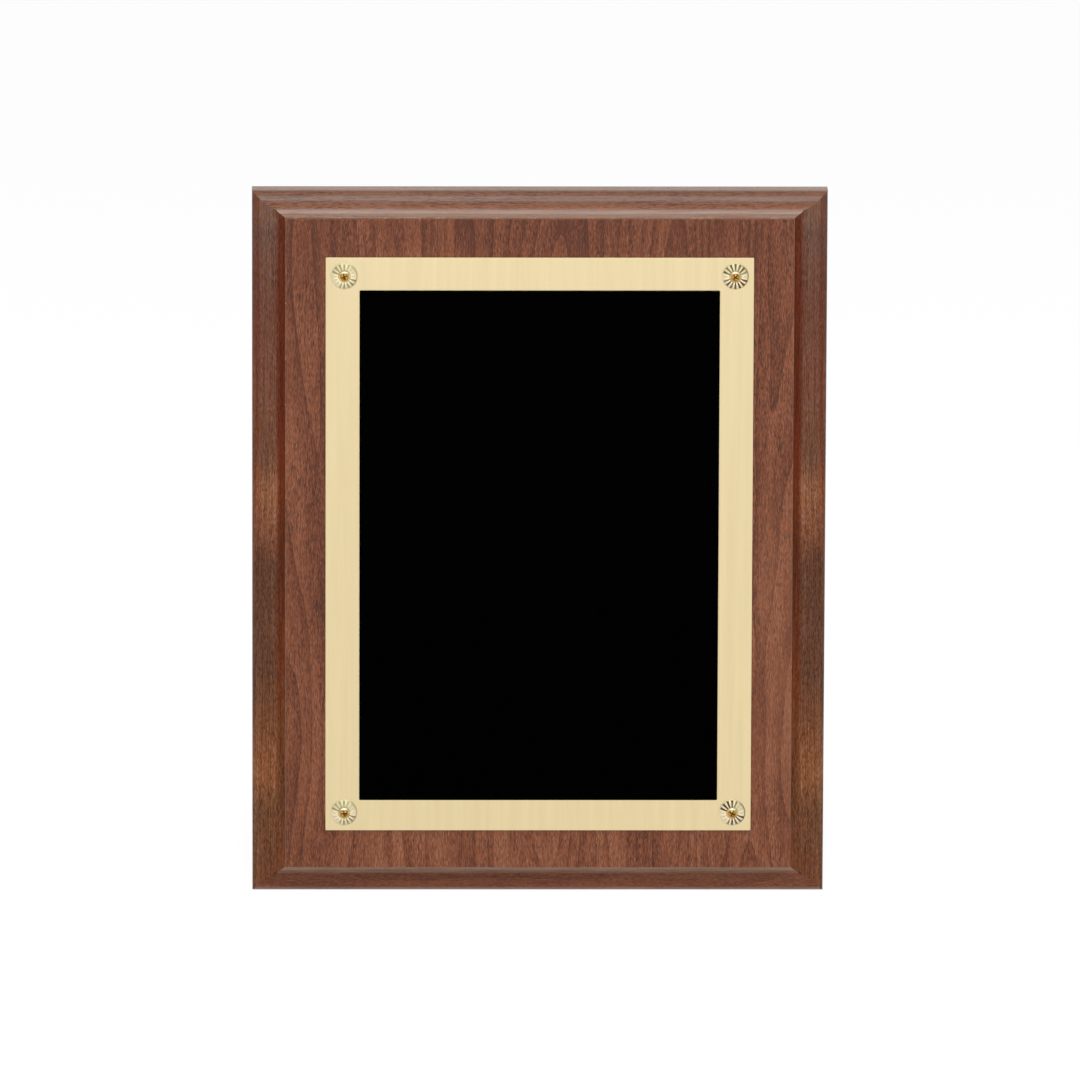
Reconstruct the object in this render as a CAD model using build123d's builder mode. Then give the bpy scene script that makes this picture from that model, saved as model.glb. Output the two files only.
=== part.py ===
from build123d import *
import os

# Award plaque, upright as it hangs: +X to the right, +Z up, the face looks along -Y.
# The origin is the centre of the flat back, which lies on the wall in the plane Y = 0.
# All sizes are in millimetres.

os.makedirs("parts", exist_ok=True)

# ---- Board: a fibreboard core covered with walnut foil on the face, the edges and the back ----
board_width = 203.2
board_height = 254.0
board_thickness = 12.0
foil_thickness = 0.3

# ---- Edge moulding, from the face outwards: a small step, a cove, a shelf and a round to the rim ----
step_depth = 0.4
cove_depth = 2.25
shelf_depth = 2.4
round_corner_depth = 3.0
rim_depth = 5.8
round_width = 4.6
side_edge_width = 11.8
side_cove_width = 3.6
end_edge_width = 9.4
end_cove_width = 2.7

# ---- Keyhole slots in the back, one to hang the plaque upright and one to hang it sideways ----
keyhole_entry_diameter = 9.5
keyhole_neck_width = 4.8
keyhole_depth = 7.5
keyhole_lip = 3.0
keyhole_travel = 12.0
keyhole_edge_distance = 34.0

# ---- Plates on the face ----
face_side_border = 14.2
face_end_border = 13.75
brass_thickness = 0.6
tape_margin = 14.0
tape_thickness = 0.3
panel_side_border = 12.0
panel_top_border = 11.8
panel_bottom_border = 11.2
panel_thickness = 0.5
film_margin = 3.0
film_thickness = 0.1
plate_corner_radius = 0.4
plate_edge_break = 0.1

# ---- Rosettes, stamped from sheet brass, one at each corner of the brass plate ----
rosette_diameter = 9.5
rosette_height = 1.2
rosette_rim_height = 0.3
rosette_sheet = 0.4
rosette_inset = 6.6
dish_diameter = 4.0
dish_height = 0.75
crest_diameter = 4.8
flute_count = 16
flute_inner_radius = 0.1
flute_outer_radius = 0.3
flute_depth = 0.23
flute_rim_margin = 0.4

# ---- Rosette screws ----
head_diameter = 3.6
head_edge_height = 0.3
head_height = 1.3
shank_diameter = 2.2
shank_clearance = 0.2
thread_root_diameter = 1.5
thread_pitch = 0.9
thread_turns = 6
point_length = 1.6
recess_span = 2.1
recess_width = 0.55
recess_depth = 0.8
recess_taper = 10.0
screw_turns = {"top_left": 20.0, "top_right": 50.0, "bottom_left": 5.0, "bottom_right": 65.0}

# ---- Levels above the back, and places on the face, worked out from the sizes above ----
face_level = board_thickness
core_level = face_level - foil_thickness
tape_level = face_level + tape_thickness
brass_level = tape_level + brass_thickness
film_level = brass_level + film_thickness
seat_level = brass_level + dish_height

brass_width = board_width - 2 * (side_edge_width + face_side_border)
brass_height = board_height - 2 * (end_edge_width + face_end_border)
panel_width = brass_width - 2 * panel_side_border
panel_height = brass_height - panel_top_border - panel_bottom_border
panel_z = (panel_bottom_border - panel_top_border) / 2

screw_hole_radius = shank_diameter / 2 + shank_clearance
rosette_x = brass_width / 2 - rosette_inset
rosette_z = brass_height / 2 - rosette_inset
rosette_places = {
    "top_left": (-rosette_x, rosette_z),
    "top_right": (rosette_x, rosette_z),
    "bottom_left": (-rosette_x, -rosette_z),
    "bottom_right": (rosette_x, -rosette_z),
}


def front_plane(level, x=0.0, z=0.0):
    """Plane at a level above the back that looks out of the face, with its y axis up."""
    return Plane(origin=(x, -level, z), x_dir=(1, 0, 0), z_dir=(0, -1, 0))


def save(piece, name):
    """Label a finished piece and write it to its own file."""
    piece.part.label = name
    export_step(piece.part, f"parts/{name}.step")


# ---- Sections of the moulded board ----
# One section runs up the sides and the other along the ends. The board is what the two have in
# common, so the mouldings meet in mitres at the corners.

sides_plane = Plane.XY.offset(-board_height / 2)
ends_plane = Plane(origin=(board_width / 2, 0, 0), x_dir=(0, 0, 1), z_dir=(-1, 0, 0))


def eased_turn(start, corner, end):
    """Two arcs that turn a corner, tangent to its sides and to each other."""
    near = (corner - start).length
    far = (end - corner).length
    chord = (end - start).length
    joint = (start * far + end * near + corner * chord) / (near + far + chord)
    first = TangentArc(start, joint, tangent=corner - start)
    TangentArc(joint, end, tangent=first % 1)


def moulded_section(full_width, edge_width, cove_width):
    """Section across the board: y = 0 is the back and y = -board_thickness the face."""
    edge_x = full_width / 2
    arris_x = edge_x - edge_width
    rim_top = Vector(edge_x, rim_depth - board_thickness)
    round_corner = Vector(edge_x, round_corner_depth - board_thickness)
    shelf_outer = Vector(edge_x - round_width, shelf_depth - board_thickness)
    shelf_inner = Vector(arris_x + cove_width, cove_depth - board_thickness)
    shelf_run = shelf_inner - shelf_outer
    cove_corner = shelf_inner - shelf_run * (cove_width / shelf_run.X)
    cove_top = Vector(arris_x, step_depth - board_thickness)
    with BuildSketch() as section:
        with BuildLine():
            Polyline((0, 0), (edge_x, 0), rim_top)
            eased_turn(rim_top, round_corner, shelf_outer)
            Line(shelf_outer, shelf_inner)
            eased_turn(shelf_inner, cove_corner, cove_top)
            Polyline(cove_top, (arris_x, -board_thickness), (0, -board_thickness))
            mirror(about=Plane.YZ)
        make_face()
    return section.sketch


def section_inside_foil(section):
    """The same section, less the foil all round."""
    with BuildSketch() as inside:
        add(section)
        offset(amount=-foil_thickness, kind=Kind.INTERSECTION)
    return inside.sketch


def foil_on_edges(section, full_width, edge_width):
    """The foil over the two moulded edges of a section, apart from the sheets on face and back."""
    with BuildSketch() as foil:
        add(section)
        add(section_inside_foil(section), mode=Mode.SUBTRACT)
        with Locations((0, -board_thickness)):
            Rectangle(
                full_width - 2 * edge_width,
                foil_thickness,
                align=(Align.CENTER, Align.MIN),
                mode=Mode.SUBTRACT,
            )
        Rectangle(
            full_width - 2 * foil_thickness,
            foil_thickness,
            align=(Align.CENTER, Align.MAX),
            mode=Mode.SUBTRACT,
        )
    return foil.sketch


side_section = moulded_section(board_width, side_edge_width, side_cove_width)
end_section = moulded_section(board_height, end_edge_width, end_cove_width)

with BuildPart() as sides_bar:
    with BuildSketch(sides_plane):
        add(side_section)
    extrude(amount=board_height)

with BuildPart() as ends_bar:
    with BuildSketch(ends_plane):
        add(end_section)
    extrude(amount=board_width)


# ---- Screw, rosette and keyhole, each made once and then placed ----


def ring_thread(top):
    """Points of the thread's outline from its top down, as radius and height."""
    root_radius = thread_root_diameter / 2
    points = [(root_radius, top)]
    for turn in range(thread_turns):
        points.append((shank_diameter / 2, top - (turn + 0.5) * thread_pitch))
        points.append((root_radius, top - (turn + 1) * thread_pitch))
    return points


# The screw stands on its seat at z = 0, with the head above and the point below. Its thread, drawn
# as plain rings, starts where the shank enters the core.
head_edge = (head_diameter / 2, head_edge_height)
thread_top = core_level - seat_level
point_z = thread_top - thread_turns * thread_pitch - point_length

with BuildPart() as screw:
    with BuildSketch(Plane.XZ):
        with BuildLine():
            TangentArc((0, head_height), head_edge, tangent=(1, 0))
            Polyline(head_edge, (head_diameter / 2, 0), (shank_diameter / 2, 0))
            Polyline((shank_diameter / 2, 0), (shank_diameter / 2, thread_top), *ring_thread(thread_top))
            Polyline((thread_root_diameter / 2, point_z + point_length), (0, point_z), (0, head_height))
        make_face()
    revolve(axis=Axis.Z)

with BuildPart() as cross_recess:
    with BuildSketch(Plane(origin=(0, 0, head_height), z_dir=(0, 0, -1))):
        Rectangle(recess_span, recess_width)
        Rectangle(recess_width, recess_span)
    extrude(amount=recess_depth, taper=recess_taper)

# The rosette stands on the brass plate at z = 0. From the screw's seat it rises to a crest and then
# falls in a dome to its rim. Its flutes are tapered grooves that deepen towards the rim.
rim_radius = rosette_diameter / 2
crest_radius = crest_diameter / 2
crest = (crest_radius, rosette_height)
dome_drop = rosette_height - rosette_rim_height
dome_radius = ((rim_radius - crest_radius) ** 2 + dome_drop**2) / (2 * dome_drop)
flute_end_radius = rim_radius - flute_rim_margin - flute_outer_radius
flute_end_sag = dome_radius - (dome_radius**2 - (flute_end_radius - crest_radius) ** 2) ** 0.5
flute_end_height = rosette_height - flute_end_sag + flute_outer_radius - flute_depth
flute_start = Vector(crest_radius, 0, rosette_height + flute_inner_radius)
flute_run = Vector(flute_end_radius, 0, flute_end_height) - flute_start

with BuildPart(Plane(origin=flute_start, z_dir=flute_run)) as flute:
    Cone(
        bottom_radius=flute_inner_radius,
        top_radius=flute_outer_radius,
        height=flute_run.length,
        align=(Align.CENTER, Align.CENTER, Align.MIN),
    )
    with Locations((0, 0, flute_run.length)):
        Sphere(flute_outer_radius)

with BuildPart() as rosette:
    with BuildSketch(Plane.XZ):
        with BuildLine():
            Line((screw_hole_radius, dish_height), (dish_diameter / 2, dish_height))
            TangentArc(crest, (dish_diameter / 2, dish_height), tangent=(-1, 0))
            TangentArc(crest, (rim_radius, rosette_rim_height), tangent=(1, 0))
            Polyline((rim_radius, rosette_rim_height), (rim_radius, 0), (rim_radius - rosette_sheet, 0))
            under_crest = (crest_radius, rosette_height - rosette_sheet)
            under_dish = (dish_diameter / 2, dish_height - rosette_sheet)
            TangentArc(under_crest, (rim_radius - rosette_sheet, 0), tangent=(1, 0))
            TangentArc(under_crest, under_dish, tangent=(-1, 0))
            Polyline(under_dish, (screw_hole_radius, under_dish[1]), (screw_hole_radius, dish_height))
        make_face()
    revolve(axis=Axis.Z)
    with PolarLocations(0, flute_count):
        add(flute, mode=Mode.SUBTRACT)

# A keyhole's origin is where the wall screw hangs, on the back; its y axis points up when hung.
with BuildPart() as keyhole:
    with BuildSketch():
        with Locations((0, -keyhole_travel)):
            Circle(keyhole_entry_diameter / 2)
        with Locations((0, -keyhole_travel / 2)):
            SlotCenterToCenter(keyhole_travel, keyhole_neck_width, rotation=90)
    extrude(amount=-keyhole_depth)
    with BuildSketch(Plane.XY.offset(-keyhole_lip)):
        with Locations((0, -keyhole_travel / 2)):
            SlotCenterToCenter(keyhole_travel, keyhole_entry_diameter, rotation=90)
    extrude(amount=keyhole_lip - keyhole_depth)

upright_hang = Plane(
    origin=(0, 0, board_height / 2 - keyhole_edge_distance), x_dir=(-1, 0, 0), z_dir=(0, 1, 0)
)
sideways_hang = Plane(
    origin=(board_width / 2 - keyhole_edge_distance, 0, 0), x_dir=(0, 0, 1), z_dir=(0, 1, 0)
)


# ---- Board ----

with BuildPart() as board_core:
    with BuildSketch(sides_plane):
        add(section_inside_foil(side_section))
    extrude(amount=board_height)
    with BuildSketch(ends_plane):
        add(section_inside_foil(end_section))
    extrude(amount=board_width, mode=Mode.INTERSECT)
    with Locations(upright_hang, sideways_hang):
        add(keyhole, mode=Mode.SUBTRACT)
    with Locations(*[front_plane(seat_level, x, z) for x, z in rosette_places.values()]):
        add(screw, mode=Mode.SUBTRACT)
save(board_core, "board_core")

with BuildPart() as front_veneer:
    with BuildSketch(front_plane(core_level)):
        Rectangle(board_width - 2 * side_edge_width, board_height - 2 * end_edge_width)
        with Locations(*rosette_places.values()):
            Circle(screw_hole_radius, mode=Mode.SUBTRACT)
    extrude(amount=foil_thickness)
save(front_veneer, "front_veneer")

with BuildPart() as back_sheet:
    with BuildSketch(front_plane(0)):
        Rectangle(board_width - 2 * foil_thickness, board_height - 2 * foil_thickness)
    extrude(amount=foil_thickness)
    with Locations(upright_hang, sideways_hang):
        add(keyhole, mode=Mode.SUBTRACT)
save(back_sheet, "back_sheet")

side_foil = foil_on_edges(side_section, board_width, side_edge_width).faces().sort_by(Axis.X)
end_foil = foil_on_edges(end_section, board_height, end_edge_width).faces().sort_by(Axis.X)
side_wraps = []

for name, foil in (("left_edge_wrap", side_foil[0]), ("right_edge_wrap", side_foil[-1])):
    with BuildPart() as side_wrap:
        with BuildSketch(sides_plane):
            add(foil)
        extrude(amount=board_height)
        add(ends_bar, mode=Mode.INTERSECT)
    side_wraps.append(side_wrap.part)
    save(side_wrap, name)

for name, foil in (("bottom_edge_wrap", end_foil[0]), ("top_edge_wrap", end_foil[-1])):
    with BuildPart() as end_wrap:
        with BuildSketch(ends_plane):
            add(foil)
        extrude(amount=board_width)
        add(sides_bar, mode=Mode.INTERSECT)
        add(side_wraps, mode=Mode.SUBTRACT)
    save(end_wrap, name)


# ---- Plates ----

with BuildPart() as plate_tape:
    with BuildSketch(front_plane(face_level)):
        Rectangle(brass_width - 2 * tape_margin, brass_height - 2 * tape_margin)
    extrude(amount=tape_thickness)
save(plate_tape, "plate_tape")

with BuildPart() as brass_plate:
    with BuildSketch(front_plane(tape_level)):
        RectangleRounded(brass_width, brass_height, plate_corner_radius)
        with Locations(*rosette_places.values()):
            Circle(screw_hole_radius, mode=Mode.SUBTRACT)
    extrude(amount=brass_thickness)
    chamfer(faces().sort_by(Axis.Y)[0].outer_wire().edges(), plate_edge_break)
save(brass_plate, "brass_plate")

with BuildPart() as panel_film:
    with BuildSketch(front_plane(brass_level, z=panel_z)):
        Rectangle(panel_width - 2 * film_margin, panel_height - 2 * film_margin)
    extrude(amount=film_thickness)
save(panel_film, "panel_film")

with BuildPart() as engraving_panel:
    with BuildSketch(front_plane(film_level, z=panel_z)):
        RectangleRounded(panel_width, panel_height, plate_corner_radius)
    extrude(amount=panel_thickness)
    chamfer(faces().sort_by(Axis.Y)[0].outer_wire().edges(), plate_edge_break)
save(engraving_panel, "engraving_panel")


# ---- Rosettes and their screws ----

for corner, (x, z) in rosette_places.items():
    with BuildPart(front_plane(brass_level, x, z)) as placed_rosette:
        add(rosette)
    save(placed_rosette, f"rosette_{corner}")

    with BuildPart(front_plane(seat_level, x, z)) as placed_screw:
        add(screw)
        add(cross_recess, rotation=(0, 0, screw_turns[corner]), mode=Mode.SUBTRACT)
    save(placed_screw, f"rosette_screw_{corner}")
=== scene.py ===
# %% [markdown]
# # An award plaque, dressed
#
# This file puts the looks on a plaque that is already built: a moulded fibreboard covered with
# walnut foil, a brushed brass plate, a black engraving panel and four stamped rosettes on screws.
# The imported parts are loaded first. They are already in place, in metres, so nothing here moves
# them; each step only gives them a finish, or adds the studio around them.

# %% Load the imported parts
import math

import bpy
from mathutils import Euler, Matrix, Vector


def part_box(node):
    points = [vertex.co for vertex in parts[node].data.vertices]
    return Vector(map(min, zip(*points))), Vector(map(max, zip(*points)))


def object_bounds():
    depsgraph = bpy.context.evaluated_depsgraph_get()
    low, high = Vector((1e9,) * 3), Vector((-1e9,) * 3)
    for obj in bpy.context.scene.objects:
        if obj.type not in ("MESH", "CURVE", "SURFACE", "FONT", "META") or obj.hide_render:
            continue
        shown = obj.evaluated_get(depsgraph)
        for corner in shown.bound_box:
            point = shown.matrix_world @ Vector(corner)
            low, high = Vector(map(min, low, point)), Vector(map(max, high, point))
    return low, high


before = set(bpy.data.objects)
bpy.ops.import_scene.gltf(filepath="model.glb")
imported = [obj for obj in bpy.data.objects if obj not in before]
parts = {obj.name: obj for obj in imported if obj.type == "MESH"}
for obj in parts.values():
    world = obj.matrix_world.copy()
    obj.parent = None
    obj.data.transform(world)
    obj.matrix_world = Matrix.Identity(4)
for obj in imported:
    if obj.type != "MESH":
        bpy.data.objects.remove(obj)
cad_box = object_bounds()
low_corner, high_corner = ([round(v, 4) for v in corner] for corner in cad_box)
print(len(parts), "parts between", low_corner, "and", high_corner)

# %% [markdown]
# ## The sizes that the finishes follow
#
# A finish such as a rubbed edge has to lie where the edge is. Typing those places in would break
# as soon as the board changed, so they are read from the boxes of the parts. Every part sits at
# the origin with its place in its mesh, which is why object coordinates are the same for all.

# %% Read the sizes from the parts
MM = 0.001
face_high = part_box("front_veneer")[1]
rosette_low, rosette_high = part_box("rosette_top_right")
screw_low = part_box("rosette_screw_top_right")[0]

board_half_width = cad_box[1].x / MM
board_half_height = cad_box[1].z / MM
face_half_width = face_high.x / MM
face_half_height = face_high.z / MM
rosette_x = (rosette_low.x + rosette_high.x) / 2 / MM
rosette_z = (rosette_low.z + rosette_high.z) / 2 / MM
print(f"face {2 * face_half_width:.1f} x {2 * face_half_height:.1f} mm")
print(f"rosettes {rosette_x:.1f} mm to each side and {rosette_z:.1f} mm up and down")

# %% [markdown]
# ## Small helpers for nodes
#
# A material is a graph of nodes. Made with plain calls, each node takes four or five lines, and the
# idea gets lost. `put` adds one node, sets its options and fills its inputs in one go: an input
# given a socket is linked, and anything else is typed in as a value. The others are the few steps
# that every finish here is made of: arithmetic, a soft mask, a color ramp and a mix.

# %% Helpers that add nodes
def put(tree, kind, options=None, **inputs):
    """Add a node. A double underscore in an input's name stands for a space."""
    node = tree.nodes.new(kind)
    for name, value in (options or {}).items():
        setattr(node, name, value)
    for name, value in inputs.items():
        socket = node.inputs[int(name[1:])] if name[1:].isdigit() else node.inputs[name.replace("__", " ")]
        if isinstance(value, bpy.types.NodeSocket):
            tree.links.new(value, socket)
        else:
            socket.default_value = value
    return node


def sums(tree, operation, a, b=0.0, c=0.0):
    """One step of arithmetic on numbers."""
    return put(tree, "ShaderNodeMath", {"operation": operation}, _0=a, _1=b, _2=c).outputs[0]


def product(tree, first, *others):
    """Multiply masks: a point passes only where all of them let it."""
    for other in others:
        first = sums(tree, "MULTIPLY", first, other)
    return first


def vector_sums(tree, operation, a, b=(0.0, 0.0, 0.0), c=(0.0, 0.0, 0.0)):
    """One step of arithmetic on vectors."""
    return put(tree, "ShaderNodeVectorMath", {"operation": operation}, _0=a, _1=b, _2=c).outputs[0]


def split(tree, position):
    """The X, Y and Z of a position, by name."""
    return put(tree, "ShaderNodeSeparateXYZ", Vector=position).outputs


def between(tree, value, low, high, to_low=0.0, to_high=1.0):
    """Turn low..high into to_low..to_high with soft ends. A mask falls where low is the larger."""
    options = {"interpolation_type": "SMOOTHSTEP"}
    node = put(tree, "ShaderNodeMapRange", options, Value=value)
    for name, number in (("From Min", low), ("From Max", high), ("To Min", to_low), ("To Max", to_high)):
        node.inputs[name].default_value = number
    return node.outputs["Result"]


def near(tree, value, middle, none, full):
    """A mask around a middle: full up to one distance from it and gone at another."""
    return between(tree, sums(tree, "ABSOLUTE", sums(tree, "SUBTRACT", value, middle)), none, full)


def ramp(tree, value, stops):
    """A color ramp from (place, color) pairs."""
    node = put(tree, "ShaderNodeValToRGB", Fac=value)
    elements = node.color_ramp.elements
    while len(elements) < len(stops):
        elements.new(0.5)
    for element, (place, color) in zip(elements, stops):
        element.position = place
        element.color = (*color, 1.0)
    return node.outputs["Color"]


def mix(tree, blend, factor, a, b):
    """Mix two colors."""
    node = put(tree, "ShaderNodeMix", {"data_type": "RGBA", "blend_type": blend}, Factor=factor)
    colors = [socket for socket in node.inputs if socket.type == "RGBA"]
    for socket, value in zip(colors, (a, b)):
        if isinstance(value, bpy.types.NodeSocket):
            tree.links.new(value, socket)
        else:
            socket.default_value = (*value, 1.0)
    return [socket for socket in node.outputs if socket.type == "RGBA"][0]


def rgb(red, green, blue):
    """A screen color, 0 to 255, as the linear color that Blender mixes with."""
    levels = (red / 255, green / 255, blue / 255)
    return tuple(v / 12.92 if v <= 0.04045 else ((v + 0.055) / 1.055) ** 2.4 for v in levels)


def new_group(name, inputs, outputs):
    """An empty node group with named sockets. Returns the tree, its inputs and its output node."""
    tree = bpy.data.node_groups.new(name, "ShaderNodeTree")
    for kind, names in inputs.items():
        for socket in names:
            tree.interface.new_socket(socket, in_out="INPUT", socket_type=kind)
    for kind, names in outputs.items():
        for socket in names:
            tree.interface.new_socket(socket, in_out="OUTPUT", socket_type=kind)
    return tree, tree.nodes.new("NodeGroupInput").outputs, tree.nodes.new("NodeGroupOutput")


print("node helpers ready")

# %% [markdown]
# ## Walnut grain
#
# The foil is printed with flat-cut walnut: broad tone bands, growth lines that close into long
# arches, fine fibres, and short dark pores that all run the same way. A wave texture could draw the
# growth lines, but it spaces them evenly. A noise texture gives all of these once its coordinates
# are squeezed across the grain and stretched along it. Contour lines of such a noise make the
# arches, and only its highest peaks are kept as pores. The print itself is made of tiny dots of ink,
# so its blue wanders a little. It is one node group, so the face, the sides and the ends share the
# same wood and differ only in what they pass in.

# %% Build the walnut group
def noise(tree, position, stretch, detail=2.0, roughness=0.5, output="Fac"):
    """Noise whose features are 1 / stretch millimetres large along each axis.

    The detail counts its finer layers, and the roughness says how much they matter.
    """
    scaled = vector_sums(tree, "MULTIPLY", position, stretch)
    return put(
        tree, "ShaderNodeTexNoise", Vector=scaled, Scale=1.0, Detail=detail, Roughness=roughness
    ).outputs[output]


def build_walnut():
    """The printed foil: its color, the height of its surface and its pores."""
    tree, given, result = new_group(
        "Walnut grain",
        {"NodeSocketVector": ["Position"], "NodeSocketFloat": ["Tone", "Figure"]},
        {"NodeSocketColor": ["Color"], "NodeSocketFloat": ["Height", "Pores"]},
    )
    position = given["Position"]

    drift = noise(tree, position, (0.025, 0.025, 0.01), 1.0, 0.5, "Color")
    drift = vector_sums(tree, "SUBTRACT", drift, (0.5, 0.5, 0.5))
    sway = 8.0  # millimetres
    swayed = vector_sums(tree, "MULTIPLY_ADD", drift, (sway, sway, 0.0), position)

    rings = noise(tree, swayed, (0.045, 0.045, 0.0032), 0.0)
    growth_lines = 14.0
    sharpness = 3.0
    darkening = -0.36
    lines = sums(tree, "FRACT", sums(tree, "MULTIPLY", rings, growth_lines))
    figure = sums(tree, "MULTIPLY", sums(tree, "POWER", lines, sharpness), darkening)
    for stretch, detail, weight in (((0.3, 0.3, 0.03), 2.0, 0.5), ((0.05, 0.05, 0.014), 1.0, 0.8)):
        layer = sums(tree, "SUBTRACT", noise(tree, swayed, stretch, detail), 0.5)
        figure = sums(tree, "MULTIPLY_ADD", layer, weight, figure)
    tone = sums(tree, "MULTIPLY_ADD", figure, given["Figure"], given["Tone"])
    for stretch, detail, weight in (((5.2, 5.2, 0.75), 0.0, 1.05), ((2.2, 2.2, 0.09), 1.0, 0.3)):
        layer = sums(tree, "SUBTRACT", noise(tree, position, stretch, detail), 0.5)
        tone = sums(tree, "MULTIPLY_ADD", layer, weight, tone)
    wood = ramp(tree, tone, [  # from the darkest grain to the palest
        (0.0, rgb(86, 38, 14)), (0.25, rgb(111, 56, 28)), (0.5, rgb(136, 76, 46)),
        (0.75, rgb(149, 90, 61)), (1.0, rgb(168, 111, 84)),
    ])

    print_dots = between(tree, noise(tree, position, (2.4, 2.4, 0.45), 1.0), 0.35, 0.65)
    dotted = mix(tree, "MIX", print_dots, (0.98, 0.9, 0.66), (1.02, 1.1, 1.34))
    wood = vector_sums(tree, "MULTIPLY", wood, dotted)

    long_pores = between(tree, noise(tree, position, (3.4, 3.4, 0.24), 0.0), 0.63, 0.7)
    short_pores = between(tree, noise(tree, position, (4.0, 4.0, 0.45), 0.0), 0.63, 0.7)
    crowding = between(tree, noise(tree, swayed, (0.12, 0.12, 0.015), 1.0), 0.35, 0.6, 0.35, 1.0)
    pores = sums(tree, "MULTIPLY", sums(tree, "MAXIMUM", long_pores, short_pores), crowding)
    depth = sums(tree, "MULTIPLY_ADD", given["Figure"], 0.36, 0.36)
    wood = mix(tree, "MIX", sums(tree, "MULTIPLY", pores, depth), wood, rgb(50, 28, 22))

    height = sums(tree, "SUBTRACT", sums(tree, "MULTIPLY", tone, 0.4), pores)
    tree.links.new(wood, result.inputs["Color"])
    tree.links.new(height, result.inputs["Height"])
    tree.links.new(pores, result.inputs["Pores"])
    return tree


walnut = build_walnut()
print("walnut group has", len(walnut.nodes), "nodes")

# %% [markdown]
# ## How far in from an edge
#
# Painted shade and highlights follow the cove of a moulding, and the foil rubs off along an arris. Both
# need to know how far a point lies in from the border of its rectangle. It could be painted, but then it
# would stay behind when the board's size changes. So this small group works it out, in millimetres,
# from the position and half of the width and height.

# %% Build the edge group
def build_edge_distance():
    """Millimetres in from the sides, from the ends and from the nearer of the two."""
    tree, given, result = new_group(
        "Edge distance",
        {"NodeSocketVector": ["Position"], "NodeSocketFloat": ["Half Width", "Half Height"]},
        {"NodeSocketFloat": ["From Side", "From End", "From Border"]},
    )
    axes = split(tree, given["Position"])
    side = sums(tree, "SUBTRACT", given["Half Width"], sums(tree, "ABSOLUTE", axes["X"]))
    end = sums(tree, "SUBTRACT", given["Half Height"], sums(tree, "ABSOLUTE", axes["Z"]))
    tree.links.new(side, result.inputs["From Side"])
    tree.links.new(end, result.inputs["From End"])
    tree.links.new(sums(tree, "MINIMUM", side, end), result.inputs["From Border"])
    return tree


edge_distance = build_edge_distance()
print("edge group has", len(edge_distance.nodes), "nodes")


# %% [markdown]
# ## Starting and finishing a material
#
# Every finish here starts alike: one Principled shader, with its fixed values typed into its own
# sockets, and the place of each point in millimetres. An unwrapped UV map is the usual way to say
# where a point is, but every part would need one. Object coordinates come for free, and as they are
# in real lengths, the grain has one scale on every part.

# %% Helpers that start and finish a material
def new_material(name, **settings):
    """A material with one Principled shader whose fixed values are typed into its own sockets."""
    material = bpy.data.materials.new(name)
    material.use_nodes = True
    tree = material.node_tree
    shader = tree.nodes["Principled BSDF"]
    for socket, value in settings.items():
        shader.inputs[socket.replace("__", " ")].default_value = value
    place = put(tree, "ShaderNodeTexCoord").outputs["Object"]
    millimetres = vector_sums(tree, "MULTIPLY", place, (1 / MM, 1 / MM, 1 / MM))
    return material, tree, shader, millimetres


def use_group(tree, group, **inputs):
    """Place a node group and return its outputs."""
    return put(tree, "ShaderNodeGroup", {"node_tree": group}, **inputs).outputs


def bump(tree, shader, height, depth_mm, strength=1.0):
    """Drive the shader's normal from a height."""
    node = put(tree, "ShaderNodeBump", Height=height, Distance=depth_mm * MM, Strength=strength)
    tree.links.new(node.outputs["Normal"], shader.inputs["Normal"])


def speckle(tree, shader, value, dark, pale):
    """Color a shader from dark to pale with a noise, whose values mostly lie from 0.3 to 0.7."""
    tree.links.new(ramp(tree, value, [(0.3, dark), (0.7, pale)]), shader.inputs["Base Color"])


def roughen(tree, shader, value, low, high):
    """Let a noise change the roughness between two values."""
    tree.links.new(between(tree, value, 0.3, 0.7, low, high), shader.inputs["Roughness"])


def dress(material, *names):
    """Put a material on parts, in place of the plain one they came with."""
    for name in names:
        parts[name].data.materials[0] = material
    print(material.name, "on", ", ".join(names))


print("material helpers ready")

# %% [markdown]
# ## The walnut face
#
# The face is one sheet with the grain upright. Its color is the walnut group's, and a thin paler
# line with a few chips runs round its border, where the foil ends at a sharp arris. It is a little
# paler low down on the right. The line could be a bevel with a material of its own, but a mask stays
# in place when the sheet changes size. The finish is a satin lacquer: the pores are a touch rougher
# than the rest, so they break up the sheen.

# %% Dress the face
def ramp_height(tree, height, stops):
    """A number that changes with the height, from (height, number) pairs."""
    place = sums(tree, "DIVIDE", sums(tree, "ADD", height, board_half_height), 2 * board_half_height)
    stops = [((at + board_half_height) / 2 / board_half_height, (v, v, v)) for at, v in stops]
    return ramp(tree, place, stops)


def foil_grain(tree, position, tone, figure=1.0, along_x=False, mirrored=False):
    """The walnut group's outputs, with the grain along Z or X."""
    axes = split(tree, position)
    tone = ramp_height(tree, axes["Z"], tone)
    across, along = axes["X"], axes["Z"]
    if mirrored:
        across = sums(tree, "ABSOLUTE", across)
    if along_x:
        across, along = along, across
    grain_way = put(tree, "ShaderNodeCombineXYZ", X=across, Y=axes["Y"], Z=along).outputs[0]
    return use_group(tree, walnut, Position=grain_way, Tone=tone, Figure=figure)


def satin_finish(tree, shader, color, height, pores):
    """Color a lacquered wood, a touch rougher and lower over its pores."""
    lacquer_roughness = 0.3
    extra_in_pores = 0.2
    roughness = sums(tree, "MULTIPLY_ADD", pores, extra_in_pores, lacquer_roughness)
    tree.links.new(color, shader.inputs["Base Color"])
    tree.links.new(roughness, shader.inputs["Roughness"])
    bump(tree, shader, height, depth_mm=0.04, strength=0.7)


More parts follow.
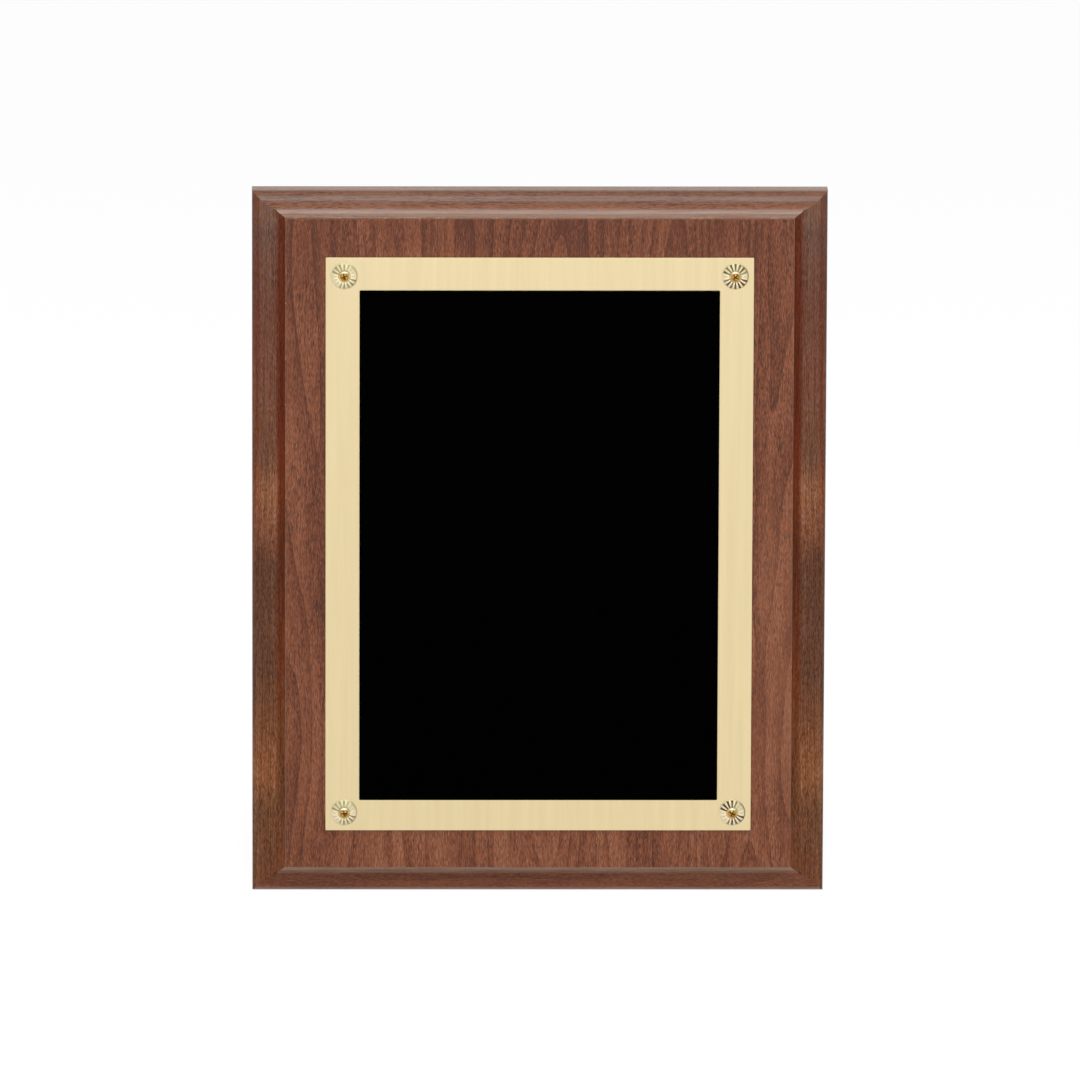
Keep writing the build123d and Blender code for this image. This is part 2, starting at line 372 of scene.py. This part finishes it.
face_tones = [  # height in millimetres, tone
    (-120, 0.6), (-80, 0.6), (-40, 0.55), (0, 0.5), (40, 0.52), (85, 0.57), (104, 0.5), (110, 0.4),
]
face_wood, tree, shader, position = new_material("walnut_face", Specular__IOR__Level=0.3)
wood = foil_grain(tree, position, face_tones)
axes = split(tree, position)
# The face is a little paler low down on the right.
pale_patch_height = -42.0
pale_patch_by = 0.12
pale_patch = product(tree, between(tree, axes["X"], 72, 82), near(tree, axes["Z"], pale_patch_height, none=75, full=35))
color = mix(tree, "MIX", product(tree, pale_patch, pale_patch_by), wood["Color"], rgb(176, 118, 86))
edges = use_group(
    tree, edge_distance, Position=position, Half__Width=face_half_width, Half__Height=face_half_height
)
arris = between(tree, edges["From Border"], 0.35, 0.05)
chips = between(tree, noise(tree, position, (0.5, 0.5, 0.5), 3.0, 0.7), 0.62, 0.68)
rubbed = sums(tree, "MULTIPLY", arris, sums(tree, "MULTIPLY_ADD", chips, 0.9, 0.1))
color = mix(tree, "MIX", rubbed, color, rgb(196, 158, 118))
satin_finish(tree, shader, color, wood["Height"], wood["Pores"])
dress(face_wood, "front_veneer")

# %% [markdown]
# ## The moulded sides
#
# The same foil is wrapped over the moulding, with its grain upright on the two sides. Over it the
# light and shade that the sides mirror from the studio are painted in zones: dark at the top, pale
# just above the middle, dark below it and paler again near the bottom, each with a torn, feathery
# end. In the cove the painted shade is darkest. Over the outer round a painted sheen is redder toward
# the top and paler toward the bottom. Such zones could be painted on an image. Here ramps follow the
# height instead, and a stretched noise tears their ends. The two sides mirror each other, so the
# position is folded about the middle before any noise reads it.

# %% Color the sides
side_width = board_half_width - face_half_width
side_lift = 1.6  # the painted shading ramps are written darker than they show, by this much
print(f"side mouldings {side_width:.1f} mm wide")


def color_sides(tree, position, edges):
    """The foil of the sides: its color, height and pores."""
    wood = foil_grain(tree, position, tone=[(0, 0.48)], figure=0.35, mirrored=True)
    axes = split(tree, position)
    folded = put(tree, "ShaderNodeCombineXYZ", X=sums(tree, "ABSOLUTE", axes["X"]), Z=axes["Z"]).outputs[0]
    torn = sums(tree, "SUBTRACT", noise(tree, folded, (1.6, 1.0, 0.06), 2.0), 0.5)
    longest_tear = 14.0  # millimetres
    height = sums(tree, "MULTIPLY_ADD", torn, longest_tear, axes["Z"])
    share = sums(tree, "MULTIPLY_ADD", height, 0.5 / board_half_height, 0.5)
    # The zones are painted light and shade: the studio mirrored in the sides, dark and pale by height.
    mirrored_light_zones = ramp(tree, share, [((at / board_half_height + 1) / 2, factor) for at, factor in (
        (-118, (0.49, 0.57, 0.62)), (-97, (0.5, 0.66, 0.72)), (-86, (0.76, 0.94, 0.96)),
        (-77, (0.77, 0.94, 0.96)), (-61, (0.5, 0.62, 0.68)), (-54, (0.46, 0.58, 0.65)),
        (-49, (0.38, 0.49, 0.63)), (-9, (0.38, 0.49, 0.66)), (4, (0.67, 0.85, 1.14)),
        (18, (0.82, 1.1, 1.38)), (30, (0.46, 0.62, 0.82)), (44, (0.42, 0.51, 0.65)),
        (62, (0.4, 0.43, 0.55)), (92, (0.31, 0.33, 0.41)), (107, (0.29, 0.34, 0.43)),
        (112, (0.26, 0.32, 0.42)), (118, (0.34, 0.42, 0.51)),
    )])
    # The cove is painted darkest, as shade on its steep wall.
    cove = between(tree, edges["From Side"], side_width - 3.9, side_width - 1.9)
    cove_shade = ramp(tree, share, [
        (0.06, (0.51, 0.51, 0.48)), (0.12, (0.43, 0.49, 0.44)), (0.22, (0.49, 0.5, 0.35)),
        (0.3, (0.46, 0.35, 0.21)), (0.4, (0.38, 0.26, 0.14)), (0.48, (0.31, 0.21, 0.1)),
        (0.57, (0.39, 0.25, 0.09)), (0.63, (0.34, 0.16, 0.07)), (0.74, (0.25, 0.12, 0.05)),
        (0.84, (0.24, 0.11, 0.05)), (0.94, (0.23, 0.12, 0.08)),
    ])
    side_shade_and_streaks = mix(tree, "MIX", cove, mirrored_light_zones, cove_shade)
    # A painted sheen over the outer round, redder toward the top and paler toward the bottom.
    outer_middle = 1.6
    outer = near(tree, edges["From Side"], outer_middle, none=1.5, full=0.3)
    outer_sheen = ramp(tree, share, [
        (0.1, (1.2, 1.38, 1.5)), (0.2, (1.02, 1.06, 1.1)), (0.3, (1.12, 1.15, 1.18)),
        (0.43, (1.05, 1.0, 0.96)), (0.52, (0.91, 0.83, 0.8)), (0.6, (1.1, 0.82, 0.7)),
        (0.75, (1.0, 0.8, 0.68)), (0.87, (0.92, 0.7, 0.65)),
    ])
    side_shade_and_streaks = mix(tree, "MULTIPLY", outer, side_shade_and_streaks, outer_sheen)
    drawn = between(tree, noise(tree, folded, (3.2, 1.0, 0.025), 1.0), 0.3, 0.7)
    streaked = mix(tree, "MIX", drawn, (0.8, 0.78, 0.76), (1.2, 1.22, 1.24))
    side_shade_and_streaks = vector_sums(tree, "MULTIPLY", side_shade_and_streaks, streaked)
    color = vector_sums(tree, "MULTIPLY", wood["Color"], side_shade_and_streaks)
    color = vector_sums(tree, "MULTIPLY", color, (side_lift, side_lift, side_lift))
    return color, wood["Height"], wood["Pores"]


# %% [markdown]
# ## The moulded ends
#
# On the ends the grain lies along the moulding. Pale streaks of painted highlight lie in the cove.
# The painted light and shade change from the outer edge inward, so here the ramps run along that
# distance, and not along the height, with one ramp for the top end and another for the bottom. The
# top end has a painted highlight along its cove and a fainter painted sheen over its round. The
# bottom end has a painted pale reflection along its rim. A faint even grey stands for the sheen that
# the weak gloss leaves out.

# %% Color the ends
end_width = board_half_height - face_half_height
end_sheen_grey = 0.0165  # a faint even grey, painted sheen in place of the gloss that is left out
print(f"end mouldings {end_width:.1f} mm wide")


def color_ends(tree, position, edges):
    """The foil of the ends: its color, height and pores."""
    wood = foil_grain(tree, position, tone=[(0, 0.5)], figure=0.5, along_x=True)
    inward = sums(tree, "DIVIDE", edges["From End"], end_width)
    # Painted light and shade across the moulding, one ramp for the top end and one for the bottom.
    top_light_and_shade = ramp(tree, inward, [
        (0.1, (0.56, 0.54, 0.5)), (0.25, (0.42, 0.41, 0.38)), (0.36, (0.5, 0.48, 0.45)),
        (0.49, (0.62, 0.6, 0.56)), (0.62, (0.79, 0.76, 0.71)), (0.73, (0.68, 0.66, 0.62)),
        (0.9, (0.74, 0.72, 0.68)),
    ])
    bottom_light_and_shade = ramp(tree, inward, [
        (0.1, (1.0, 0.97, 0.94)), (0.25, (1.0, 0.97, 0.9)), (0.36, (0.84, 0.81, 0.76)),
        (0.49, (0.68, 0.66, 0.61)), (0.62, (0.68, 0.66, 0.61)), (0.71, (0.68, 0.64, 0.58)),
        (0.8, (0.68, 0.6, 0.5)), (0.87, (0.96, 0.96, 0.92)), (0.93, (1.1, 1.3, 1.3)),
        (0.98, (1.15, 1.45, 1.5)),
    ])
    axes = split(tree, position)
    on_top = between(tree, axes["Z"], -1.0, 1.0)
    streaks = noise(tree, position, (0.05, 1.5, 1.5), 3.0, 0.6)
    patchy = between(tree, streaks, 0.3, 0.7, 0.35, 0.7)
    # A patchy pale highlight painted in the cove.
    cove_sheen = between(tree, edges["From End"], end_width - 3.0, end_width - 1.9)
    color = mix(tree, "MIX", product(tree, cove_sheen, patchy), wood["Color"], rgb(176, 150, 136))
    color = mix(tree, "MULTIPLY", 1.0, color, mix(tree, "MIX", on_top, bottom_light_and_shade, top_light_and_shade))
    # A painted highlight along the top cove, and a fainter painted sheen over the top round and rim.
    cove_highlight = product(tree, between(tree, inward, 0.61, 0.74), between(tree, inward, 0.865, 0.815))
    cove_highlight_amount = 0.42
    round_sheen_middle = 0.28
    round_sheen = near(tree, inward, round_sheen_middle, none=0.13, full=0.05)
    round_sheen_amount = 0.22
    top_rim_sheen = between(tree, inward, 0.06, 0.0, 0.0, 0.3)
    # A painted pale reflection along the bottom rim.
    bottom_rim_reflection = between(tree, inward, 0.21, 0.0, 0.0, 0.65)
    painted_sheen = sums(tree, "ADD", product(tree, cove_highlight, cove_highlight_amount), product(tree, round_sheen, round_sheen_amount))
    painted_sheen = product(tree, on_top, sums(tree, "ADD", painted_sheen, top_rim_sheen))
    on_bottom = sums(tree, "SUBTRACT", 1.0, on_top)
    painted_sheen = sums(tree, "ADD", painted_sheen, product(tree, on_bottom, bottom_rim_reflection))
    painted_sheen = product(tree, painted_sheen, between(tree, streaks, 0.3, 0.7, 0.7, 1.1))
    color = mix(tree, "MIX", painted_sheen, color, rgb(196, 178, 168))
    color = vector_sums(tree, "ADD", color, (end_sheen_grey, end_sheen_grey, end_sheen_grey))
    return color, wood["Height"], wood["Pores"]


# %% [markdown]
# ## The mitres
#
# The upright grain of a side meets the level grain of an end in a mitre. Because the ends of the
# moulding are narrower than its sides, the mitre isn't one straight line: it runs where both are
# equally far up the moulding. So each way in from the edge is counted in three lanes, one for the
# outer round, one for the shelf and one for the cove. A point belongs to the side where the side's
# count is the smaller, and to the end elsewhere. A dark line marks the joint, from the shelf into
# the cove, and the foil of the ends is chipped along its inner arris. The four wraps are parts of
# their own and could have a material each, but the joint's line lies on both sides of the mitre,
# and one material keeps it in one place.

# %% Dress the moulding
round_width = 4.6
side_cove_width, end_cove_width = 3.6, 2.7


def lanes(tree, inward, width, cove_width):
    """0 to 1 over the outer round, 1 to 2 over the shelf, 2 to 3 over the cove."""
    count = between(tree, inward, 0.0, round_width)
    count = sums(tree, "ADD", count, between(tree, inward, round_width, width - cove_width))
    return sums(tree, "ADD", count, between(tree, inward, width - cove_width, width))


moulding, tree, shader, position = new_material("walnut_moulding", Specular__IOR__Level=0.12)
edges = use_group(
    tree, edge_distance, Position=position, Half__Width=board_half_width, Half__Height=board_half_height
)
side_lanes = lanes(tree, edges["From Side"], side_width, side_cove_width)
end_lanes = lanes(tree, edges["From End"], end_width, end_cove_width)
lead = sums(tree, "SUBTRACT", end_lanes, side_lanes)
on_side = between(tree, lead, -0.02, 0.02)
side_color, side_height, side_pores = color_sides(tree, position, edges)
end_color, end_height, end_pores = color_ends(tree, position, edges)
color = mix(tree, "MIX", on_side, end_color, side_color)
joint = product(
    tree,
    near(tree, lead, 0.0, none=0.09, full=0.04),
    between(tree, end_lanes, 1.0, 2.0),
    between(tree, end_lanes, 2.96, 2.9),
)
color = mix(tree, "MULTIPLY", joint, color, (0.55, 0.5, 0.48))
arris = between(tree, sums(tree, "MINIMUM", side_lanes, end_lanes), 2.93, 2.99)
chips = between(tree, noise(tree, position, (0.5, 0.5, 0.5), 3.0, 0.7), 0.5, 0.66, 0.15, 0.9)
chipped = product(tree, arris, sums(tree, "SUBTRACT", 1.0, on_side), chips)
color = mix(tree, "MIX", chipped, color, rgb(186, 160, 132))
height = sums(tree, "MULTIPLY_ADD", sums(tree, "SUBTRACT", side_height, end_height), on_side, end_height)
pores = sums(tree, "MULTIPLY_ADD", sums(tree, "SUBTRACT", side_pores, end_pores), on_side, end_pores)
satin_finish(tree, shader, color, height, pores)
dress(moulding, "left_edge_wrap", "right_edge_wrap", "top_edge_wrap", "bottom_edge_wrap")

# %% [markdown]
# ## Fibreboard and backing
#
# The keyhole slots are cut into the core, so bare fibreboard shows there: a dull tan with a fine
# felted speckle. The back is covered with a thin brown paper that has a faint fibre of its own. Both
# could be roughened in the mesh, but so fine a felt would take millions of faces, and a bump driven
# by the same noise as the color looks the same.

# %% Dress the core and the back
core_board, tree, shader, position = new_material("fibreboard", Roughness=0.85, Specular__IOR__Level=0.3)
felt = noise(tree, position, (2.5, 2.5, 2.5), 6.0, 0.75)
speckle(tree, shader, felt, rgb(134, 102, 70), rgb(186, 152, 112))
bump(tree, shader, felt, depth_mm=0.12, strength=0.6)
dress(core_board, "board_core")

back_paper, tree, shader, position = new_material("backing_paper", Specular__IOR__Level=0.3)
fibre = noise(tree, position, (1.2, 1.2, 0.5), 6.0, 0.7)
speckle(tree, shader, fibre, rgb(84, 58, 44), rgb(112, 80, 60))
roughen(tree, shader, fibre, 0.62, 0.8)
bump(tree, shader, fibre, depth_mm=0.03, strength=0.5)
dress(back_paper, "back_sheet")

# %% [markdown]
# ## Brushed brass
#
# The plate is sheet brass brushed upright and lacquered. Brushing is thousands of hair-fine
# scratches. The shader's Anisotropic value smears a highlight as they do, but leaves the sheet
# flawless, so a noise stretched along Z also drives the roughness, a very shallow bump and a slight
# change of tone. A metal takes its color from Base Color alone.

# %% Dress the brass plate
brass, tree, shader, position = new_material("brushed_brass", Metallic=1.0, Anisotropic=0.4)
hairs = noise(tree, position, (9.0, 9.0, 0.05), 3.0, 0.8)
broad = noise(tree, position, (0.3, 0.3, 0.012), 2.0, 0.6)
tone = sums(tree, "MULTIPLY_ADD", broad, 0.4, sums(tree, "MULTIPLY", hairs, 0.6))
metal = ramp(tree, tone, [(0.3, rgb(214, 195, 152)), (0.7, rgb(227, 209, 164))])
axes = split(tree, position)
# The plate is painted a little darker toward the top, as shade in its reflection.
metal = mix(tree, "MULTIPLY", between(tree, axes["Z"], -100, 100), metal, (0.93, 0.935, 0.96))
tree.links.new(metal, shader.inputs["Base Color"])
roughen(tree, shader, hairs, 0.30, 0.42)
bump(tree, shader, hairs, depth_mm=0.004, strength=0.5)
dress(brass, "brass_plate")

# %% [markdown]
# ## The black engraving panel
#
# Black lacquer on sheet metal, blank until it is engraved. It is almost without color, so all that
# shows is a weak gloss, slightly uneven where the lacquer flowed. Plain black would do from afar,
# but close up it would look like a hole. The foam tape under the brass and the film under the panel
# are hidden, and share one plain pale finish.

# %% Dress the panel, the tape and the film
lacquer, tree, shader, position = new_material("black_lacquer", Specular__IOR__Level=0.003)
flow = noise(tree, position, (0.4, 0.4, 0.4), 3.0, 0.5)
speckle(tree, shader, flow, (0.0002, 0.0002, 0.0002), (0.0005, 0.0004, 0.0004))
roughen(tree, shader, flow, 0.3, 0.4)
bump(tree, shader, flow, depth_mm=0.01, strength=0.2)
dress(lacquer, "engraving_panel")

tape, tree, shader, position = new_material("foam_tape", Specular__IOR__Level=0.4)
foam = noise(tree, position, (4.0, 4.0, 4.0), 3.0, 0.6)
speckle(tree, shader, foam, rgb(205, 205, 200), rgb(235, 235, 230))
roughen(tree, shader, foam, 0.6, 0.8)
dress(tape, "plate_tape", "panel_film")

# %% [markdown]
# ## Stamped rosettes
#
# Each rosette is bright stamped brass. The flutes are already in its shape. What they need is brown
# in the grooves, partly the tarnish that polish never reaches and partly painted shade: it fills the
# grooves on a slant, so some stay clean, and a painted shadow gathers against the right of the rim.
# The upper petals are painted a little darker, as shade. Each corner has its own brown, and the top
# right one is also shaded in a cross. Four materials could say that, but taking the nearest corner's
# place from the position lets one mask serve all four. All lengths here are millimetres from a
# rosette's own centre.

# %% Dress the rosettes
def corner_polar(tree, position):
    """Place across and up, radius and angle about the nearest rosette's centre."""
    axes = split(tree, position)
    across, up = (
        sums(tree, "SUBTRACT", axes[way], product(tree, sums(tree, "SIGN", axes[way]), place))
        for way, place in (("X", rosette_x), ("Z", rosette_z))
    )
    squares = sums(tree, "ADD", product(tree, across, across), product(tree, up, up))
    radius = sums(tree, "SQRT", squares)
    return across, up, radius, sums(tree, "ARCTAN2", up, across)


flute_count = 16
rosette, tree, shader, position = new_material("stamped_brass", Metallic=1.0)
across, up, radius, angle = corner_polar(tree, position)
axes = split(tree, position)
on_right = between(tree, axes["X"], -1.0, 1.0)
on_top = between(tree, axes["Z"], -1.0, 1.0)

wave = sums(tree, "COSINE", sums(tree, "MULTIPLY", angle, float(flute_count)))
groove = product(
    tree,
    between(tree, wave, -0.35, 0.3),
    between(tree, radius, 1.7, 2.3),
    between(tree, radius, 4.65, 4.4),
)
# The grooves are brown along one slant, partly tarnish and partly painted shade; the top right corner also
# along a cross.
shade_angle = 2.05
shaded_slant = sums(tree, "COSINE", sums(tree, "MULTIPLY", sums(tree, "SUBTRACT", angle, shade_angle), 2.0))
shaded_slant = between(tree, shaded_slant, -0.55, 0.2, 0.12, 1.0)
shaded_cross = sums(tree, "ABSOLUTE", sums(tree, "SINE", sums(tree, "MULTIPLY", angle, 2.0)))
shaded_cross = product(tree, between(tree, shaded_cross, 0.3, 0.9, 0.12, 1.0), on_right, on_top)
spots = between(tree, noise(tree, position, (0.3, 0.3, 0.3), 1.0), 0.35, 0.55, 0.75, 1.0)
tarnish_and_shade = product(tree, groove, sums(tree, "MAXIMUM", shaded_slant, shaded_cross), spots)

# A painted shadow against the right of the rim.
facing_right = sums(tree, "COSINE", angle)
rim_shadow = product(tree, between(tree, radius, 4.1, 4.45), between(tree, radius, 4.75, 4.6))
rim_shadow = product(tree, rim_shadow, between(tree, facing_right, 0.35, 0.8, 0.0, 0.6))
tarnish_and_shade = sums(tree, "MAXIMUM", tarnish_and_shade, rim_shadow)

# Each corner's brown, partly tarnish and partly painted shade.
top_shade_brown = mix(tree, "MIX", on_right, rgb(160, 150, 104), rgb(102, 82, 36))
bottom_shade_brown = mix(tree, "MIX", on_right, rgb(164, 154, 114), rgb(70, 24, 16))
brown_and_shade = mix(tree, "MIX", on_top, bottom_shade_brown, top_shade_brown)
# The upper petals are painted darker, as shade.
facing_up = sums(tree, "SINE", angle)
petal_shading = mix(tree, "MIX", between(tree, facing_up, -0.1, 0.8), rgb(228, 216, 184), rgb(198, 190, 156))
tree.links.new(mix(tree, "MIX", tarnish_and_shade, petal_shading, brown_and_shade), shader.inputs["Base Color"])
tree.links.new(between(tree, groove, 0.0, 1.0, 0.62, 0.55), shader.inputs["Roughness"])
dents = noise(tree, position, (3.0, 3.0, 3.0), 3.0)
bump(tree, shader, dents, depth_mm=0.01, strength=0.4)
corners = "top_left", "top_right", "bottom_left", "bottom_right"
dress(rosette, *[f"rosette_{corner}" for corner in corners])

# %% [markdown]
# ## The screws
#
# A small wood screw with a domed head and a cross pressed into it holds each rosette. Its brass is
# yellower than the rosette's, with painted shade in the cross, a brown stain round it that turns
# olive on its right as a painted dark reflection, and a painted highlight as a bright crescent above.
# The shade in the cross could have a material on faces of its own, but nothing has to be picked out
# by hand: the floor of the cross lies deeper than the dome, so a point's depth says where it is.

# %% Dress the screws
screw_front = screw_low.y / MM
screw, tree, shader, position = new_material("screw_brass", Metallic=1.0)
depth = split(tree, position)["Y"]
across, up, radius, angle = corner_polar(tree, position)
# The cross is painted brown, as shade in the recess.
recess_shade = between(tree, depth, screw_front + 0.15, screw_front + 0.6)
recess_shade = product(tree, recess_shade, between(tree, radius, 1.5, 1.2))
# A brown stain round the head, olive on its right as a painted dark reflection.
stain_and_reflection = between(tree, noise(tree, position, (0.9, 0.9, 0.9), 2.0), 0.38, 0.58, 0.2, 0.9)
stain_and_reflection = product(tree, stain_and_reflection, between(tree, radius, 1.7, 1.0))
brown_and_shade = mix(tree, "MIX", between(tree, across, 0.2, 0.9), rgb(146, 88, 36), rgb(104, 94, 46))
gold = mix(tree, "MIX", stain_and_reflection, rgb(214, 186, 106), brown_and_shade)
# A painted highlight: a bright crescent above the head.
crescent_highlight = product(tree, between(tree, up, 0.9, 1.3), between(tree, radius, 1.25, 1.5))
gold = mix(tree, "MIX", crescent_highlight, gold, rgb(250, 246, 228))
tree.links.new(mix(tree, "MIX", recess_shade, gold, rgb(122, 66, 20)), shader.inputs["Base Color"])
roughen(tree, shader, noise(tree, position, (2.0, 2.0, 2.0), 3.0), 0.42, 0.56)
dress(screw, *[f"rosette_screw_{corner}" for corner in corners])

# %% [markdown]
# ## The studio
#
# A pale floor runs under and behind the plaque. To the camera and in reflections it glows a little,
# so that it looks nearly white. To the plaque it is a plain pale sheet that throws back only the
# light it gets. If its glow counted there too, it would wash out the moulding from below.

# %% Floor
def seen_white(tree):
    """1 for camera, glossy and transmission rays, else 0."""
    path = put(tree, "ShaderNodeLightPath").outputs
    mirrored = sums(tree, "MAXIMUM", path["Is Glossy Ray"], path["Is Transmission Ray"])
    return sums(tree, "MAXIMUM", path["Is Camera Ray"], mirrored)


def stage_sheet(name, corners, material):
    """A flat sheet of the studio, which isn't part of the plaque."""
    mesh = bpy.data.meshes.new(name)
    mesh.from_pydata(corners, [], [(0, 1, 2, 3)])
    mesh.materials.append(material)
    sheet = bpy.data.objects.new(name, mesh)
    bpy.context.scene.collection.objects.link(sheet)
    return sheet


def bare_material(name):
    """A material with an empty node tree."""
    material = bpy.data.materials.new(name)
    material.use_nodes = True
    material.node_tree.nodes.clear()
    return material, material.node_tree


floor_level = cad_box[0].z
paint, tree = bare_material("pale_floor")
glow = put(tree, "ShaderNodeEmission", Color=(1, 1, 1, 1), Strength=0.86)
shade = put(tree, "ShaderNodeBsdfDiffuse", Color=(0.28, 0.28, 0.28, 1))
shown = put(tree, "ShaderNodeAddShader", _0=glow.outputs[0], _1=shade.outputs[0])
plain = put(tree, "ShaderNodeBsdfDiffuse", Color=(0.8, 0.8, 0.8, 1))
both = put(tree, "ShaderNodeMixShader", _0=seen_white(tree), _1=plain.outputs[0], _2=shown.outputs[0])
put(tree, "ShaderNodeOutputMaterial", Surface=both.outputs[0])
reach = 6
outline = [(x * reach, y * reach, floor_level) for x, y in ((-1, -1), (1, -1), (1, 1), (-1, 1))]
stage_sheet("floor", outline, paint)
print("floor at", round(floor_level, 3), "m,", 2 * reach, "m wide")

# %% [markdown]
# ## The sky
#
# An even white sky stands for the walls of a bright room, and the brass needs it to reflect. At full
# strength it would light the plaque from everywhere, and no round or cove would have a shaded side.
# So it is white where it is seen or mirrored, and lends the plaque only about a third of that.

# %% Sky
sky = bpy.data.worlds.new("studio")
bpy.context.scene.world = sky
sky.use_nodes = True
tree = sky.node_tree
tree.nodes.clear()
fill_light = 0.36  # what the sky lends the plaque, beside 1.0 where it is seen
strength = between(tree, seen_white(tree), 0.0, 1.0, fill_light, 1.0)
air = put(tree, "ShaderNodeBackground", Color=(1, 1, 1, 1), Strength=strength)
put(tree, "ShaderNodeOutputWorld", Surface=air.outputs[0])
print("sky lights with", fill_light)

# %% [markdown]
# ## The soft boxes
#
# One tall soft box stands in front of the plaque, above the lens, so that the rounds and coves of
# the moulding catch a long soft highlight, and a weaker one hangs overhead. A sun or a bare bulb
# would light it too, but with a small hard glint. A lamp's power follows here from its area and from
# how bright its face should be, so that its size can be changed on its own.

# %% Soft boxes
watts_for_radiance = 4.0  # what one square metre of lamp takes for a radiance of 1


def soft_box(name, elevation, distance, width, height, radiance):
    """A rectangular area lamp in front of the plaque that faces it."""
    lamp = bpy.data.lights.new(name, "AREA")
    lamp.shape = "RECTANGLE"
    lamp.size = width
    lamp.size_y = height
    lamp.energy = radiance * watts_for_radiance * width * height
    box = bpy.data.objects.new(name, lamp)
    angle = math.radians(elevation)
    box.location = Vector((0.0, -math.cos(angle), math.sin(angle))) * distance
    box.rotation_euler = (math.pi / 2 - angle, 0.0, 0.0)
    bpy.context.scene.collection.objects.link(box)
    print(name, "at", [round(v, 2) for v in box.location], "uses", round(lamp.energy, 1), "W")


soft_box("front_strip", elevation=38.0, distance=1.46, width=0.5, height=2.1, radiance=3.5)
soft_box("top_box", elevation=80.0, distance=1.2, width=1.0, height=0.7, radiance=0.3)

# %% [markdown]
# ## The camera
#
# The plaque is seen from in front, a little above and a touch from the left, from far off with a
# long lens, so its sides stay almost parallel. An orthographic camera would keep them wholly so, as
# no real lens does. The camera is rolled by a fifth of a degree, as one held by hand would be.

# %% Camera
view_elevation = math.radians(12.45)
view_distance = 5.4
view_azimuth = math.radians(0.8)
view_roll = math.radians(0.2)
aim_point = Vector((0.453 * MM, -6.0 * MM, 0.406 * MM))

camera_data = bpy.data.cameras.new("camera")
camera_data.sensor_width = 36.0
camera_data.lens = 507.6
camera_data.clip_end = 100.0
camera = bpy.data.objects.new("camera", camera_data)
level_reach = math.cos(view_elevation)
toward_camera = Vector((
    -math.sin(view_azimuth) * level_reach, -math.cos(view_azimuth) * level_reach, math.sin(view_elevation)
))
camera.location = aim_point + toward_camera * view_distance
look = Euler((math.pi / 2 - view_elevation, 0.0, -view_azimuth)).to_matrix()
camera.rotation_euler = (look @ Matrix.Rotation(view_roll, 3, "Z")).to_euler()
bpy.context.scene.collection.objects.link(camera)
bpy.context.scene.camera = camera
bpy.context.scene.view_settings.view_transform = "Standard"
print("camera at", [round(v, 2) for v in camera.location])
